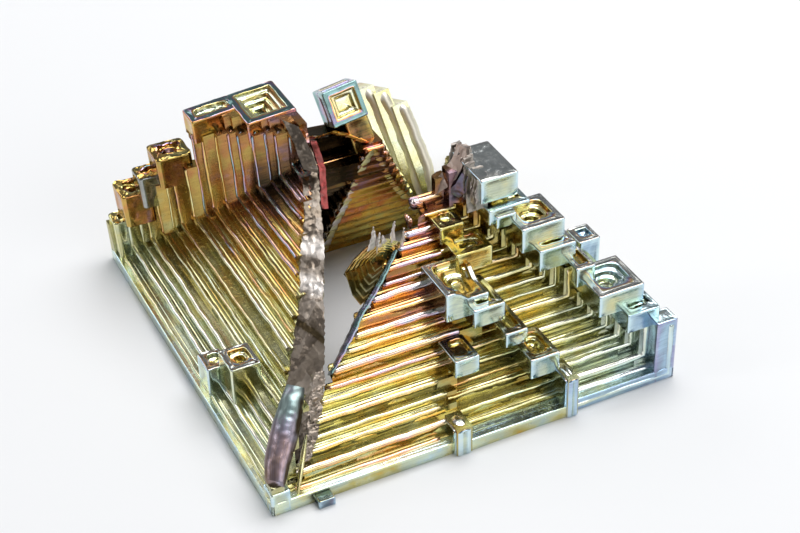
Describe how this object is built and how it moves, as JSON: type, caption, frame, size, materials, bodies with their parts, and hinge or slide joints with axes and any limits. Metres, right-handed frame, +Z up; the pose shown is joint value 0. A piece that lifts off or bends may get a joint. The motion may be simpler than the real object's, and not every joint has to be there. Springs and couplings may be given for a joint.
{
  "type": "bismuth hopper crystal",
  "caption": "Broken half of a hollow bismuth hopper crystal with stepped, iridescent sides, square terraces and pits.",
  "frame": {"origin": "middle of the base at the resting plane", "axes": "+Z up through the open top, +X along the right base edge, +Y along the left base edge towards the back"},
  "size_m": [0.0402, 0.043, 0.0208],
  "materials": {
    "bismuth": "bright bismuth metal under a thin iridescent oxide film, gold, olive, pink, violet and pale blue, with bare grey fractures"
  },
  "bodies": {
    "root": {"bismuth_crystal": "bismuth"}
  },
  "joints": []
}
